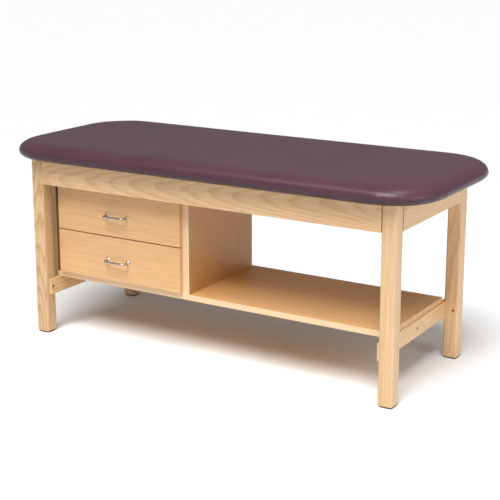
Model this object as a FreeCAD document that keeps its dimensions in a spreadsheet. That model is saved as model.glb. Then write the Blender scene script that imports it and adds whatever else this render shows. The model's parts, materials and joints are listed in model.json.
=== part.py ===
"""Upholstered exam table with a lower shelf and a two-drawer cabinet.

Millimetres.  +X runs along the table to the right, +Y to the back, +Z up.
The origin is on the floor at the middle of the table.
"""
import FreeCAD, Part
import Sketcher
import math
import os
import re

from FreeCAD import Placement, Rotation, Vector

X, Y, Z = Vector(1, 0, 0), Vector(0, 1, 0), Vector(0, 0, 1)

# ---------------------------------------------------------------- driving dimensions
DIMENSIONS = {
    # overall size of the upholstered top
    "top_length": 1829, "top_width": 762, "top_height": 787.4, "corner_round": 215,
    "foam_round": 45, "foam_under_round": 21, "cover_skin": 1.2, "cover_turn_under": 92,
    "board_thick": 18, "board_inset": 42, "board_round": 148, "pad_thick": 68,
    # frame of legs, aprons and lower rails
    "frame_length": 1590, "frame_width": 635, "leg_side": 57, "leg_ease": 9, "foot_chamfer": 5,
    "glide_high": 4.5, "glide_side": 45, "apron_high": 98, "apron_thick": 19, "edge_ease": 1.5,
    "rail_thick": 19, "rail_high": 63.5, "rail_top": 226, "rail_dado": 7, "rail_half": 300,
    "stretcher_thick": 28, "cross_rail_thick": 22, "cross_rail_high": 64,
    "block_high": 55, "block_clear": 3, "block_wide": 45, "block_reach": 41,
    # shelf and cabinet
    "shelf_half_length": 740, "shelf_half_depth": 240, "shelf_thick": 22,
    "cabinet_right": -94, "cabinet_side_thick": 38, "cabinet_top_thick": 19, "cabinet_high": 371,
    "cabinet_back": 220, "back_panel_thick": 6,
    # drawers
    "front_thick": 19, "front_high": 177, "front_overlay": 9.5, "front_gap": 4, "front_lift": 6,
    "front_clear": 0.3, "box_high": 140, "box_lift": 8, "box_length": 400, "box_side_thick": 12,
    "bottom_thick": 6, "bottom_lift": 10, "groove": 6,
    # side-mounted roller slides
    "slide_gap": 12.7, "sheet": 1.2, "runner_length": 398, "runner_high": 24, "runner_lift": 6,
    "runner_flange": 9, "drawer_flange": 7.5, "lip_wide": 12, "roller_radius": 9.5,
    "roller_wide": 6.5, "roller_seat": 0.1, "roller_inset": 14, "pin_radius": 2.5,
    "pin_clear": 0.06, "pin_head_radius": 4.5, "pin_head_thick": 1,
    # pulls
    "pull_centres": 96, "pull_radius": 4.5, "pull_reach": 30, "pull_bend": 13, "pull_rise": 83,
    "foot_radius": 8.5, "foot_thick": 5,
    # fasteners
    "bolt_radius": 3, "bolt_length": 50, "bolt_head_radius": 6, "bolt_head_thick": 6,
    "bolt_sink_radius": 6.5, "bolt_sink": 9, "barrel_radius": 5, "barrel_length": 18,
    "barrel_back": 40, "hanger_radius": 4, "hanger_length": 91, "hanger_bite": 45, "nut_thick": 7,
    "nut_flat": 6.5, "nut_flange_radius": 9, "nut_flange_thick": 1.5,
    "screw_radius": 2.5, "screw_length": 50, "screw_head_radius": 4.5, "screw_head_thick": 3,
    "screw_setback": 150, "block_screw_radius": 2, "block_screw_length": 22,
    "block_screw_head": 4, "block_screw_head_thick": 2.5, "block_screw_grip": 10,
    "block_screw_spread": 15, "top_screw_length": 42, "top_screw_bite": 9,
    "top_screw_spread": 36, "cross_screw_setback": 150, "shelf_screw_bite": 15,
    "stretcher_screw_setback": 500, "screw_slack": 0.5,
    "runner_screw_radius": 1.75, "runner_screw_length": 11, "runner_screw_head": 3.5,
    "runner_screw_head_thick": 1.6, "pull_screw_radius": 2, "pull_screw_length": 27,
    "pull_screw_head": 4, "pull_screw_head_thick": 2,
}

doc = FreeCAD.newDocument("ExamTable")
sheet = doc.addObject("Spreadsheet::Sheet", "Dims")
for row, (alias, value) in enumerate(DIMENSIONS.items(), 1):
    sheet.set(f"A{row}", alias)
    sheet.set(f"B{row}", str(value))
    sheet.setAlias(f"B{row}", alias)
doc.recompute()

# ---------------------------------------------------------------- heights and places
PAD_BOTTOM = "(top_height - pad_thick)"
BOARD_BOTTOM = f"({PAD_BOTTOM} + cover_skin)"
BOARD_TOP = f"({BOARD_BOTTOM} + board_thick)"
APRON_BOTTOM = f"({PAD_BOTTOM} - apron_high)"
LEG_OUT_X = "(frame_length/2)"
LEG_IN_X = "(frame_length/2 - leg_side)"
LEG_OUT_Y = "(frame_width/2)"
LEG_IN_Y = "(frame_width/2 - leg_side)"
APRON_IN_X = "(frame_length/2 - apron_thick)"
APRON_IN_Y = "(frame_width/2 - apron_thick)"
RAIL_BOTTOM = "(rail_top - rail_high)"
RAIL_MIDDLE = "(rail_top - rail_high/2)"
RAIL_OUT = f"({LEG_IN_X} + rail_dado)"
RAIL_IN = f"({RAIL_OUT} - rail_thick)"
LEG_CENTRE_Y = "(frame_width/2 - leg_side/2)"
SHELF_TOP = "(rail_top + shelf_thick)"
CABINET_TOP = f"({SHELF_TOP} + cabinet_high)"
CABINET_LEFT = "(-shelf_half_length)"
CABINET_MIDDLE = "((cabinet_right - shelf_half_length)/2)"
OPENING_HALF = "((cabinet_right + shelf_half_length)/2 - cabinet_side_thick)"
BOX_HALF = f"({OPENING_HALF} - slide_gap)"
FRONT_BACK = "(-shelf_half_depth - front_clear)"
FRONT_FACE = f"({FRONT_BACK} - front_thick)"
BOX_BACK = f"({FRONT_BACK} + box_length)"
RUNNER_FRONT = "(-shelf_half_depth + 2)"
RUNNER_BACK = f"({RUNNER_FRONT} + runner_length)"
BLOCK_MIDDLE = f"({PAD_BOTTOM} - block_high/2)"
DRAWERS = {"lower": f"({SHELF_TOP} + front_lift)",
           "upper": f"({SHELF_TOP} + front_lift + front_high + front_gap)"}
SIDES = {"left": -1, "right": 1}
ENDS = {"front": -1, "rear": 1}

bodies = {}


def cells(text):
    """Point each dimension's name in an expression at its cell in the sheet."""
    return re.sub(r"[a-z][a-z_]*", lambda word: "Dims." + word.group(0), text)


def size(text):
    """The present value of an expression, in millimetres."""
    return float(sheet.evalExpression(cells(text)))


def bind(item, target, text):
    item.setExpression(target, cells(text))


# ---------------------------------------------------------------- ways of making a piece
def new_body(name, origin):
    body = doc.addObject("PartDesign::Body", name)
    body.Label = name
    for axis, text in zip("xyz", origin):
        bind(body, f"Placement.Base.{axis}", text)
    bodies[name] = (body, origin)
    return body


def new_sketch(body, plane, tag):
    sketch = body.newObject("Sketcher::SketchObject", f"{body.Name}_{tag}")
    support = next(item for item in body.Origin.OriginFeatures if item.Role == plane)
    sketch.AttachmentSupport = [(support, "")]
    sketch.MapMode = "FlatFace"
    return sketch


def pin_point(sketch, curve, end, place):
    """Fix one end of a curve at a pair of expressions."""
    for kind, axis, text in (("DistanceX", -2, place[0]), ("DistanceY", -1, place[1])):
        if text == "0":
            sketch.addConstraint(Sketcher.Constraint("PointOnObject", curve, end, axis))
        else:
            rule = Sketcher.Constraint(kind, -1, 1, curve, end, size(text))
            number = sketch.addConstraint(rule)
            bind(sketch, f"Constraints[{number}]", text)


def polygon(body, plane, corners, tag="outline"):
    sketch = new_sketch(body, plane, tag)
    spots = [Vector(size(across), size(up), 0) for across, up in corners]
    count = len(spots)
    for index, spot in enumerate(spots):
        sketch.addGeometry(Part.LineSegment(spot, spots[(index + 1) % count]))
    for index in range(count):
        rule = Sketcher.Constraint("Coincident", index, 2, (index + 1) % count, 1)
        sketch.addConstraint(rule)
    for index, corner in enumerate(corners):
        pin_point(sketch, index, 1, corner)
    return sketch


def pad(body, sketch, length):
    feature = body.newObject("PartDesign::Pad", f"{body.Name}_pad")
    feature.Profile = sketch
    bind(feature, "Length", length)
    return feature


def prism(name, plane, origin, corners, length):
    body = new_body(name, origin)
    pad(body, polygon(body, plane, corners), length)
    return body


def board(name, low, high):
    """A rectangular piece between two opposite corners."""
    deep, wide, tall = (f"({top}) - ({base})" for base, top in zip(low, high))
    corners = [("0", "0"), (deep, "0"), (deep, wide), ("0", wide)]
    return prism(name, "XY_Plane", low, corners, tall)


def subtract(body, kind, place, sizes, toward=Z):
    """Cut a cylinder or a box out of a body, at a place in the table's own frame."""
    cutter = body.newObject(f"PartDesign::Subtractive{kind}", f"{body.Name}_cut")
    cutter.Placement = Placement(Vector(), Rotation(Z, toward))
    origin = bodies[body.Label][1]
    for axis, text, base in zip("xyz", place, origin):
        bind(cutter, f"Placement.Base.{axis}", f"({text}) - ({base})")
    for target, text in sizes.items():
        bind(cutter, target, text)
    return cutter


def bore(body, place, toward, radius, depth):
    return subtract(body, "Cylinder", place, {"Radius": radius, "Height": depth}, toward)


def slot_box(body, low, high):
    spans = (f"({top}) - ({base})" for base, top in zip(low, high))
    return subtract(body, "Box", low, dict(zip(("Length", "Width", "Height"), spans)))


def ease(body, radius, wanted, kind="Fillet"):
    """Round or chamfer the edges of a body that pass a test."""
    doc.recompute()
    base = body.Tip
    names = [f"Edge{number}" for number, edge in enumerate(base.Shape.Edges, 1) if wanted(edge)]
    feature = body.newObject(f"PartDesign::{kind}", f"{body.Name}_ease")
    feature.Base = (base, names)
    bind(feature, "Radius" if kind == "Fillet" else "Size", radius)
    doc.recompute()
    return feature


def along(axis):
    """A test for straight edges that run along an axis."""
    def wanted(edge):
        if not isinstance(edge.Curve, Part.Line):
            return False
        return abs(edge.Curve.Direction.dot(axis)) > 0.999
    return wanted


def at_height(height):
    """A test for edges that lie flat at a height above the body's own origin."""
    def wanted(edge):
        box = edge.BoundBox
        return abs(box.ZMin - height) < 0.01 and abs(box.ZMax - height) < 0.01
    return wanted


def cluster(name, solids):
    """A node of separate solids that are alike."""
    feature = doc.addObject("Part::Feature", name)
    feature.Label = name
    feature.Shape = Part.makeCompound(solids)
    feature.Placement = Placement()
    bodies[name] = (feature, ("0", "0", "0"))
    return feature


def placed(shape, place, toward):
    copy = shape.copy()
    copy.Placement = Placement(Vector(*(size(text) for text in place)), Rotation(Z, toward))
    return copy


def headed_pin(head_radius, head_thick, shank_radius, length):
    """A pin from z = 0 with its round head below."""
    head = Part.makeCylinder(size(head_radius), size(head_thick), Z * -size(head_thick))
    shank = Part.makeCylinder(size(shank_radius), size(length))
    return head.fuse(shank).removeSplitter()


def signed(sign, text):
    return f"({text})" if sign > 0 else f"(-({text}))"


def span(sign, inner, outer):
    """Low and high ends of a stretch on either side of the middle."""
    ends = (signed(sign, inner), signed(sign, outer))
    return ends if sign > 0 else ends[::-1]


# ---------------------------------------------------------------- legs, aprons and rails
def make_leg(name, side, end):
    (left, right), (near, far) = span(side, LEG_IN_X, LEG_OUT_X), span(end, LEG_IN_Y, LEG_OUT_Y)
    leg = board(name, (left, near, "glide_high"), (right, far, PAD_BOTTOM))
    ease(leg, "leg_ease", along(Z))
    ease(leg, "foot_chamfer", at_height(0), "Chamfer")
    dado_x = span(side, f"{LEG_IN_X} - 1", RAIL_OUT)
    dado_y = span(end, f"{LEG_IN_Y} - 1", "rail_half")
    slot_box(leg, (dado_x[0], dado_y[0], RAIL_BOTTOM), (dado_x[1], dado_y[1], "rail_top"))
    bolt_start = (signed(side, RAIL_OUT), signed(end, LEG_CENTRE_Y), RAIL_MIDDLE)
    bore(leg, bolt_start, X * side, "bolt_radius",
         f"{RAIL_IN} + bolt_sink + bolt_length - {RAIL_OUT}")
    barrel_start = (signed(side, f"{RAIL_IN} + bolt_sink + barrel_back"),
                    signed(end, f"{LEG_IN_Y} - 1"), RAIL_MIDDLE)
    bore(leg, barrel_start, Y * end, "barrel_radius",
         f"{LEG_CENTRE_Y} + barrel_length/2 - {LEG_IN_Y} + 1")
    hanger_start = (signed(side, f"{LEG_IN_X} - 1"), signed(end, f"{LEG_IN_Y} - 1"), BLOCK_MIDDLE)
    bore(leg, hanger_start, Vector(side, end, 0), "hanger_radius", f"hanger_bite + {math.sqrt(2)}")


def make_legs():
    for end_name, end in ENDS.items():
        for side_name, side in SIDES.items():
            make_leg(f"leg_{end_name}_{side_name}", side, end)
    wide, half = size("glide_side"), size("glide_side/2")
    glide = Part.makeBox(wide, wide, size("glide_high"), Vector(-half, -half, 0))
    uprights = [edge for edge in glide.Edges if along(Z)(edge)]
    glide = glide.makeFillet(size("leg_ease"), uprights)
    feet = [(signed(side, f"{LEG_OUT_X} - leg_side/2"), signed(end, LEG_CENTRE_Y), "0")
            for side in SIDES.values() for end in ENDS.values()]
    cluster("leg_glides", [placed(glide, foot, Z) for foot in feet])


def block_screw_heights():
    return [f"({BLOCK_MIDDLE} + {sign}*block_screw_spread)" for sign in (-1, 1)]


def make_aprons():
    """Four boards flush with the outer faces of the legs."""
    for end_name, end in ENDS.items():
        near, far = span(end, APRON_IN_Y, LEG_OUT_Y)
        apron = board(f"apron_{end_name}", (f"-{LEG_IN_X}", near, APRON_BOTTOM),
                      (LEG_IN_X, far, PAD_BOTTOM))
        for side in SIDES.values():
            for height in block_screw_heights():
                start = (signed(side, f"{LEG_IN_X} - block_reach - block_wide/2"),
                         signed(end, APRON_IN_Y), height)
                bore(apron, start, Y * end, "block_screw_radius", "block_screw_length - block_screw_grip")
        ease(apron, "edge_ease", lambda edge: along(X)(edge) and at_height(0)(edge))
    for side_name, side in SIDES.items():
        left, right = span(side, APRON_IN_X, LEG_OUT_X)
        apron = board(f"apron_{side_name}", (left, f"-{LEG_IN_Y}", APRON_BOTTOM),
                      (right, LEG_IN_Y, PAD_BOTTOM))
        for end in ENDS.values():
            for height in block_screw_heights():
                start = (signed(side, APRON_IN_X),
                         signed(end, f"{LEG_IN_Y} - block_reach - block_wide/2"), height)
                bore(apron, start, X * side, "block_screw_radius", "block_screw_length - block_screw_grip")
        ease(apron, "edge_ease", lambda edge: along(Y)(edge) and at_height(0)(edge))


def corner_block(side, end):
    """A block across one corner, with holes for its bolt and its screws."""
    wide = size("block_wide")
    corner = Vector(size(LEG_IN_X), size(LEG_IN_Y), 0)
    wall_x, wall_y = size(APRON_IN_X), size(APRON_IN_Y)
    far = corner.x + corner.y - size("block_clear")
    plan = [(wall_x, far - wall_x), (far - wall_y, wall_y),
            (far - wall_y - wide, wall_y), (wall_x, far - wall_x - wide)]
    bottom = size(f"{PAD_BOTTOM} - block_high")
    spots = [Vector(across, up, bottom) for across, up in plan + plan[:1]]
    block = Part.Face(Part.makePolygon(spots)).extrude(Z * size("block_high"))
    middle = Vector(corner.x, corner.y, size(BLOCK_MIDDLE))
    diagonal = Vector(1, 1, 0).normalize()
    hole, depth = size("hanger_radius + screw_slack"), size("block_wide + block_clear")
    cuts = [Part.makeCylinder(hole, depth, middle - diagonal * depth, diagonal)]
    grip, sink = size("block_screw_grip"), size("block_screw_head + screw_slack")
    for place, toward in block_screws():
        cuts.append(Part.makeCylinder(size("block_screw_radius"), grip + 1, place, toward))
        cuts.append(Part.makeCylinder(sink, wide, place, toward * -1))
    deep, sink = size("block_high + 2"), size("screw_head_radius + screw_slack")
    seat = size("block_high - top_screw_length + top_screw_bite + 1")
    for spot in top_screw_spots():
        cuts.append(Part.makeCylinder(size("screw_radius"), deep, spot - Z))
        cuts.append(Part.makeCylinder(sink, seat, spot - Z))
    for cut in cuts:
        block = block.cut(cut)
    return mirror_to(block, side, end)


def block_screws():
    """Where one corner block's screw heads sit, and the way each screw points."""
    found = []
    across = size(f"{LEG_IN_X} - block_reach - block_wide/2")
    deep = size(f"{LEG_IN_Y} - block_reach - block_wide/2")
    for height in (size(text) for text in block_screw_heights()):
        found.append((Vector(across, size(f"{APRON_IN_Y} - block_screw_grip"), height), Y))
        found.append((Vector(size(f"{APRON_IN_X} - block_screw_grip"), deep, height), X))
    return found


def top_screw_spots():
    """Under a corner block, where two screws go up into the table board."""
    inset = size("(block_clear + block_wide/2)/2")
    middle = Vector(size(LEG_IN_X) - inset, size(LEG_IN_Y) - inset,
                    size(f"{PAD_BOTTOM} - block_high"))
    spread = size("top_screw_spread")
    return [middle + Vector(1, -1, 0).normalize() * offset for offset in (-spread, spread)]


def mirror_to(shape, side, end):
    if side < 0:
        shape = shape.mirror(Vector(), X)
    if end < 0:
        shape = shape.mirror(Vector(), Y)
    return shape


def corners():
    return [(side, end) for side in SIDES.values() for end in ENDS.values()]


def hex_nut():
    flat, bolt = size("nut_flat"), size("hanger_radius")
    spots = [Vector(flat / math.cos(math.pi / 6), 0, 0)]
    spots += [Rotation(Z, 60 * turn).multVec(spots[0]) for turn in range(1, 6)]
    nut = Part.Face(Part.makePolygon(spots + spots[:1])).extrude(Z * size("nut_thick"))
    flange = Part.makeCylinder(size("nut_flange_radius"), size("nut_flange_thick"))
    hole = Part.makeCylinder(bolt, size("nut_thick") + 2, Z * -1)
    return nut.fuse(flange).cut(hole).removeSplitter()


def make_corner_joints():
    """Blocks, hanger bolts, nuts and screws that hold legs and aprons together."""
    cluster("corner_blocks", [corner_block(side, end) for side, end in corners()])
    diagonal = Vector(1, 1, 0).normalize()
    corner = Vector(size(LEG_IN_X), size(LEG_IN_Y), size(BLOCK_MIDDLE))
    inner = (size("block_clear") + size("block_wide")) / math.sqrt(2)
    bolt = Part.makeCylinder(size("hanger_radius"), size("hanger_length"),
                             corner + diagonal * (size("hanger_bite") - size("hanger_length")),
                             diagonal)
    nut = hex_nut()
    nut.Placement = Placement(corner - diagonal * inner, Rotation(Z, diagonal * -1))
    screw = headed_pin("block_screw_head", "block_screw_head_thick", "block_screw_radius",
                       "block_screw_length")
    screws = []
    for place, toward in block_screws():
        copy = screw.copy()
        copy.Placement = Placement(place, Rotation(Z, toward))
        screws.append(copy)
    cluster("corner_bolts", [mirror_to(bolt, *corner_at) for corner_at in corners()])
    cluster("corner_nuts", [mirror_to(nut, *corner_at) for corner_at in corners()])
    cluster("corner_block_screws", [mirror_to(one, *corner_at)
                                    for corner_at in corners() for one in screws])


def make_rails():
    """End rails let into the legs, and the stretcher that joins them into an H."""
    for name, side in SIDES.items():
        left, right = span(side, RAIL_IN, RAIL_OUT)
        rail = board(f"end_rail_{name}", (left, "-rail_half", RAIL_BOTTOM),
                     (right, "rail_half", "rail_top"))
        for end in ENDS.values():
            start = (signed(side, f"{RAIL_IN} - 1"), signed(end, LEG_CENTRE_Y), RAIL_MIDDLE)
            bore(rail, start, X * side, "bolt_sink_radius", "bolt_sink + 1")
            bore(rail, start, X * side, "bolt_radius", "rail_thick + 2")
        start = (signed(side, f"{RAIL_OUT} + 1"), "0", RAIL_MIDDLE)
        bore(rail, start, X * -side, "bolt_sink_radius", "bolt_sink + 1")
        bore(rail, start, X * -side, "bolt_radius", "rail_thick + 2")
        ease(rail, "edge_ease", lambda edge: along(Y)(edge) and edge.Length > 400)
    stretcher = board("center_stretcher", (f"-{RAIL_IN}", "-stretcher_thick/2", RAIL_BOTTOM),
                      (RAIL_IN, "stretcher_thick/2", "rail_top"))
    for side in SIDES.values():
        bore(stretcher, (signed(side, f"{RAIL_IN} + 1"), "0", RAIL_MIDDLE), X * -side,
             "bolt_radius", f"bolt_length - {RAIL_OUT} + bolt_sink + {RAIL_IN} + 1")
        bore(stretcher, (signed(side, f"{RAIL_OUT} - bolt_sink - barrel_back"),
                         "-stretcher_thick/2 - 1", RAIL_MIDDLE), Y,
             "barrel_radius", "stretcher_thick + 2")
    for place in stretcher_screw_places():
        bore(stretcher, (place, "0", f"{RAIL_BOTTOM} - 1"), Z, "screw_head_radius + screw_slack",
             "rail_high - screw_length + shelf_screw_bite + 1")
        bore(stretcher, (place, "0", f"{RAIL_BOTTOM} - 1"), Z, "screw_radius", "rail_high + 2")


def stretcher_screw_places():
    return ["-stretcher_screw_setback", "0", "stretcher_screw_setback"]


def make_rail_bolts():
    bolt = headed_pin("bolt_head_radius", "bolt_head_thick", "bolt_radius", "bolt_length")
    barrel = Part.makeCylinder(size("barrel_radius"), size("barrel_length"),
                               Z * -size("barrel_length/2"))
    hole = Part.makeCylinder(size("bolt_radius"), 2 * size("barrel_radius") + 2,
                             X * -(size("barrel_radius") + 1), X)
    barrel = barrel.cut(hole)
    bolts, barrels = [], []
    for side in SIDES.values():
        for end in ENDS.values():
            seat = (signed(side, f"{RAIL_IN} + bolt_sink"), signed(end, LEG_CENTRE_Y), RAIL_MIDDLE)
            bolts.append(placed(bolt, seat, X * side))
            nut = (signed(side, f"{RAIL_IN} + bolt_sink + barrel_back"), seat[1], RAIL_MIDDLE)
            barrels.append(placed(barrel, nut, Y))
        seat = (signed(side, f"{RAIL_OUT} - bolt_sink"), "0", RAIL_MIDDLE)
        bolts.append(placed(bolt, seat, X * -side))
        nut = (signed(side, f"{RAIL_OUT} - bolt_sink - barrel_back"), "0", RAIL_MIDDLE)
        barrels.append(placed(barrel, nut, Y))
    cluster("rail_bolts", bolts)
    cluster("barrel_nuts", barrels)


def make_cross_rail():
    """A bearer from apron to apron under the middle of the top."""
    rail = board("top_cross_rail",
                 ("-cross_rail_thick/2", f"-{APRON_IN_Y}", f"{PAD_BOTTOM} - cross_rail_high"),
                 ("cross_rail_thick/2", APRON_IN_Y, PAD_BOTTOM))
    for place in ("-cross_screw_setback", "cross_screw_setback"):
        start = ("0", place, f"{PAD_BOTTOM} - cross_rail_high - 1")
        bore(rail, start, Z, "screw_head_radius + screw_slack",
             "cross_rail_high - top_screw_length + top_screw_bite + 1")
        bore(rail, start, Z, "screw_radius", "cross_rail_high + 2")


# ---------------------------------------------------------------- shelf and cabinet
def make_shelf():
    shelf = board("lower_shelf", ("-shelf_half_length", "-shelf_half_depth", "rail_top"),
                  ("shelf_half_length", "shelf_half_depth", SHELF_TOP))
    for across in cabinet_screw_lines():
        for place in ("-screw_setback", "screw_setback"):
            bore(shelf, (across, place, "rail_top - 1"), Z, "screw_head_radius",
                 "screw_head_thick + 1")
            bore(shelf, (across, place, "rail_top - 1"), Z, "screw_radius", "shelf_thick + 2")
    for place in stretcher_screw_places():
        bore(shelf, (place, "0", "rail_top - 1"), Z, "screw_radius", "shelf_screw_bite + 1")
    ease(shelf, "edge_ease", lambda edge: along(X)(edge) and edge.Length > 900)


def cabinet_screw_lines():
    return (f"({CABINET_LEFT} + cabinet_side_thick/2)", "(cabinet_right - cabinet_side_thick/2)")


def make_cabinet():
    """Two thick sides on the shelf, a top over them and a thin back."""
    panel_back = "cabinet_back - back_panel_thick"
    side_top = f"({CABINET_TOP} - cabinet_top_thick)"
    walls = {"left": (CABINET_LEFT, f"{CABINET_LEFT} + cabinet_side_thick"),
             "right": ("cabinet_right - cabinet_side_thick", "cabinet_right")}
    for (name, (left, right)), across in zip(walls.items(), cabinet_screw_lines()):
        wall = board(f"cabinet_side_{name}", (left, "-shelf_half_depth", SHELF_TOP),
                     (right, panel_back, side_top))
        for place in ("-screw_setback", "screw_setback"):
            deep = "screw_length - shelf_thick + screw_head_thick"
            bore(wall, (across, place, f"{SHELF_TOP} - 1"), Z, "screw_radius", f"{deep} + 1")
            deep = "screw_length - cabinet_top_thick + screw_head_thick"
            bore(wall, (across, place, f"{side_top} + 1"), Z * -1, "screw_radius", f"{deep} + 1")
        inner = CABINET_MIDDLE, OPENING_HALF
        sign = SIDES[name]
        for height in (runner_screw_height(base) for base in DRAWERS.values()):
            for place in runner_screw_places():
                start = (f"{inner[0]} + {sign}*({inner[1]} - 1)", place, height)
                bore(wall, start, X * sign, "runner_screw_radius", "runner_screw_length + 1")
        ease(wall, "edge_ease", lambda edge: along(Z)(edge) and edge.Vertexes[0].Y < 1
             and edge.Length > 300)
    top = board("cabinet_top", (CABINET_LEFT, "-shelf_half_depth", side_top),
                ("cabinet_right", panel_back, CABINET_TOP))
    for across in cabinet_screw_lines():
        for place in ("-screw_setback", "screw_setback"):
            start = (across, place, f"{CABINET_TOP} + 1")
            bore(top, start, Z * -1, "screw_head_radius", "screw_head_thick + 1")
            bore(top, start, Z * -1, "screw_radius", "cabinet_top_thick + 2")
    board("cabinet_back_panel", (CABINET_LEFT, panel_back, SHELF_TOP),
          ("cabinet_right", "cabinet_back", CABINET_TOP))


def make_assembly_screws():
    """Alike screws: up into the cabinet sides, down through its top, up into the shelf."""
    screw = headed_pin("screw_head_radius", "screw_head_thick", "screw_radius", "screw_length")
    screws = []
    for across in cabinet_screw_lines():
        for place in ("-screw_setback", "screw_setback"):
            screws.append(placed(screw, (across, place, "rail_top + screw_head_thick"), Z))
            seat = (across, place, f"{CABINET_TOP} - screw_head_thick")
            screws.append(placed(screw, seat, Z * -1))
    for place in stretcher_screw_places():
        screws.append(placed(screw, (place, "0", "rail_top + shelf_screw_bite - screw_length"), Z))
    cluster("assembly_screws", screws)


# ---------------------------------------------------------------- drawers
def make_drawer(level, base):
    """Front, two sides, back and a bottom held in grooves."""
    box_low, box_high = f"({base} + box_lift)", f"({base} + box_lift + box_high)"
    floor_low = f"({box_low} + bottom_lift)"
    floor_high = f"({floor_low} + bottom_thick)"
    inner = f"({BOX_HALF} - box_side_thick)"
    pull_height = f"({base} + pull_rise)"
    front = board(f"{level}_drawer_front",
                  (f"{CABINET_MIDDLE} - {OPENING_HALF} - front_overlay", FRONT_FACE, base),
                  (f"{CABINET_MIDDLE} + {OPENING_HALF} + front_overlay", FRONT_BACK,
                   f"{base} + front_high"))
    slot_box(front, (f"{CABINET_MIDDLE} - {inner} - groove", f"{FRONT_BACK} - groove", floor_low),
             (f"{CABINET_MIDDLE} + {inner} + groove", f"{FRONT_BACK} + 1", floor_high))
    for sign in SIDES.values():
        start = (f"{CABINET_MIDDLE} + {sign}*pull_centres/2", f"{FRONT_BACK} + 1", pull_height)
        bore(front, start, Y * -1, "pull_screw_radius", "front_thick + 2")
    ease(front, "edge_ease", lambda edge: edge.BoundBox.YMax < 0.01 and edge.Length > 100)
    for name, sign in SIDES.items():
        left, right = (f"{CABINET_MIDDLE} + {text}" for text in span(sign, inner, BOX_HALF))
        wall = board(f"{level}_drawer_side_{name}", (left, FRONT_BACK, box_low),
                     (right, BOX_BACK, box_high))
        groove = [f"{CABINET_MIDDLE} + {text}"
                  for text in span(sign, f"{inner} - 1", f"{inner} + groove")]
        slot_box(wall, (groove[0], f"{FRONT_BACK} - 1", floor_low),
                 (groove[1], f"{BOX_BACK} - box_side_thick", floor_high))
        for place in runner_screw_places():
            start = (f"{CABINET_MIDDLE} + {sign}*({BOX_HALF} + 1)", place,
                     runner_screw_height(base))
            bore(wall, start, X * -sign, "runner_screw_radius", "runner_screw_length + 1")
    board(f"{level}_drawer_back",
          (f"{CABINET_MIDDLE} - {inner}", f"{BOX_BACK} - box_side_thick", box_low),
          (f"{CABINET_MIDDLE} + {inner}", BOX_BACK, box_high))
    board(f"{level}_drawer_bottom",
          (f"{CABINET_MIDDLE} - {inner} - groove", f"{FRONT_BACK} - groove", floor_low),
          (f"{CABINET_MIDDLE} + {inner} + groove", f"{BOX_BACK} - box_side_thick", floor_high))
    make_pull(f"{level}_pull", pull_height)


def make_pull(name, height):
    """A round bar bent into a bow, standing on two flared feet."""
    pull = new_body(name, (CABINET_MIDDLE, FRONT_FACE, height))
    half, reach, bend = size("pull_centres/2"), size("pull_reach"), size("pull_bend")
    path = new_sketch(pull, "XY_Plane", "path")
    arc_low = Vector(-half + bend, -reach + bend, 0)
    arc_high = Vector(half - bend, -reach + bend, 0)
    path.addGeometry(Part.LineSegment(Vector(-half, 0, 0), Vector(-half, -reach + bend, 0)))
    path.addGeometry(Part.ArcOfCircle(Part.Circle(arc_low, Z, bend), math.pi, 1.5 * math.pi))
    path.addGeometry(Part.LineSegment(Vector(-half + bend, -reach, 0),
                                      Vector(half - bend, -reach, 0)))
    path.addGeometry(Part.ArcOfCircle(Part.Circle(arc_high, Z, bend), 1.5 * math.pi, 2 * math.pi))
    path.addGeometry(Part.LineSegment(Vector(half, -reach + bend, 0), Vector(half, 0, 0)))
    for first, end, second, start in ((0, 2, 1, 1), (1, 2, 2, 1), (2, 2, 3, 1), (3, 2, 4, 1)):
        path.addConstraint(Sketcher.Constraint("Tangent", first, end, second, start))
    pin_point(path, 0, 1, ("-pull_centres/2", "0"))
    pin_point(path, 0, 2, ("-pull_centres/2", "-pull_reach + pull_bend"))
    pin_point(path, 2, 1, ("-pull_centres/2 + pull_bend", "-pull_reach"))
    pin_point(path, 4, 2, ("pull_centres/2", "0"))
    ring = new_sketch(pull, "XZ_Plane", "section")
    ring.addGeometry(Part.Circle(Vector(-half, 0, 0), Z, size("pull_radius")))
    pin_point(ring, 0, 3, ("-pull_centres/2", "0"))
    number = ring.addConstraint(Sketcher.Constraint("Radius", 0, size("pull_radius")))
    bind(ring, f"Constraints[{number}]", "pull_radius")
    bar = pull.newObject("PartDesign::AdditivePipe", f"{name}_bar")
    bar.Profile = ring
    bar.Spine = (path, [f"Edge{number}" for number in range(1, 6)])
    doc.recompute()
    for sign in SIDES.values():
        foot = pull.newObject("PartDesign::AdditiveCone", f"{name}_foot")
        foot.Placement = Placement(Vector(), Rotation(Z, Y * -1))
        bind(foot, "Placement.Base.x", f"{sign}*pull_centres/2")
        bind(foot, "Radius1", "foot_radius")
        bind(foot, "Radius2", "pull_radius")
        bind(foot, "Height", "foot_thick")
        start = (f"{CABINET_MIDDLE} + {sign}*pull_centres/2", f"{FRONT_FACE} + 1", height)
        bore(pull, start, Y * -1, "pull_screw_radius", "pull_screw_length - front_thick + 1")


# ---------------------------------------------------------------- roller slides
def runner_base(base):
    return f"({base} + box_lift + runner_lift)"


def roller_height(base):
    return f"({runner_base(base)} + sheet + roller_seat + roller_radius)"


def runner_screw_height(base):
    return f"({runner_base(base)} + runner_high/2)"


def runner_screw_places():
    return [f"({RUNNER_FRONT} + {offset})" for offset in (60, 200, 350)]


def wall_side(sign, distance):
    """A place at a distance from a cabinet side, towards the drawer."""
    return f"({CABINET_MIDDLE} + {sign}*({OPENING_HALF} - ({distance})))"


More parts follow.
